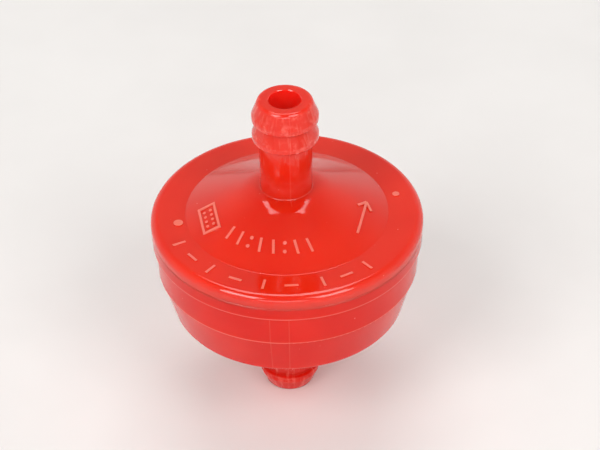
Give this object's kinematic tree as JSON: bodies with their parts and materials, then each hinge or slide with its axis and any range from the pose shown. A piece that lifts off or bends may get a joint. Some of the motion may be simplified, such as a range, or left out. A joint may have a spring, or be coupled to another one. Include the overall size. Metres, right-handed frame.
{
  "type": "in-line fuel filter",
  "caption": "Round red plastic in-line fuel filter for a small engine, with a hose barb on each end of its axis and a woven screen sealed inside.",
  "frame": {"origin": "centre of the bounding box, on the flow axis halfway between the two barb tips", "axes": "+Z along the flow axis from the bowl half to the cap half, -Y towards the front, which carries the middle of the relief marks, +X to the right of it"},
  "size_m": [0.0346, 0.0346, 0.0454],
  "materials": {
    "housing_red": "glossy moulded, slightly translucent",
    "frame_natural": "satin moulded",
    "screen_thread": "woven monofilament"
  },
  "bodies": {
    "root": {"upper_housing": "housing_red", "lower_housing": "housing_red", "screen_frame": "frame_natural", "screen_weft": "screen_thread", "screen_warp": "screen_thread"}
  },
  "joints": []
}
